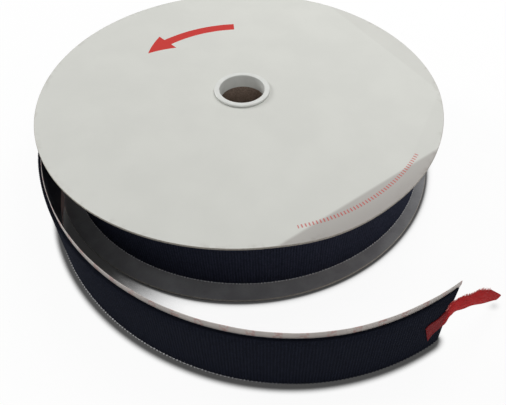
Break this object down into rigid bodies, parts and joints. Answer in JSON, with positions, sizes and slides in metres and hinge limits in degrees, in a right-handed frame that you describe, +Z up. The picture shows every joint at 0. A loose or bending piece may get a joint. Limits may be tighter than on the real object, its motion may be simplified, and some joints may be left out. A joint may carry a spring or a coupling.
{
  "type": "hook and loop tape roll",
  "caption": "Reel of black self-adhesive hook tape wound between white card flanges on a core tube with plastic bushes, its loose end standing on edge with a lined back and a red pull tab.",
  "frame": {"origin": "on the reel's axis, at the level of the surface that the reel lies on", "axes": "+Z up along the reel's axis; the tape leaves the reel on the -X side and its loose end sweeps round the -Y side"},
  "size_m": [0.3105, 0.3581, 0.0601],
  "materials": {
    "flange_card": "matte white card",
    "bush_plastic": "satin white moulding",
    "kraft_board": "raw kraft board",
    "hook_tape": "black woven hook",
    "release_liner": "smooth release paper",
    "red_tape": "red woven tape"
  },
  "bodies": {
    "reel": {"core_tube": "kraft_board", "lower_flange": "flange_card", "upper_flange": "flange_card", "lower_bush": "bush_plastic", "upper_bush": "bush_plastic", "tape_pack": "hook_tape"},
    "running_end": {"turn_liner": "release_liner", "turn_tape": "hook_tape", "loose_tape": "hook_tape", "loose_liner": "release_liner", "tab_root": "red_tape"},
    "liner_flap": {"liner_flap": "release_liner"},
    "pull_tab": {"tab_tail": "red_tape"}
  },
  "joints": [
    {"name": "reel_turn", "type": "hinge", "parent": "reel", "child": "running_end", "pos_m": [0, 0, 0], "axis": [0, 0, 1], "continuous": true},
    {"name": "liner_peel", "type": "hinge", "parent": "running_end", "child": "liner_flap", "pos_m": [0.0714, -0.19797, 0.025], "axis": [0, 0, 1], "range_deg": [0, 80]},
    {"name": "tab_lift", "type": "hinge", "parent": "running_end", "child": "pull_tab", "pos_m": [0.12076, -0.18036, 0.03305], "axis": [-0.2029, -0.0426, 0.9783], "range_deg": [-50, 40]}
  ]
}
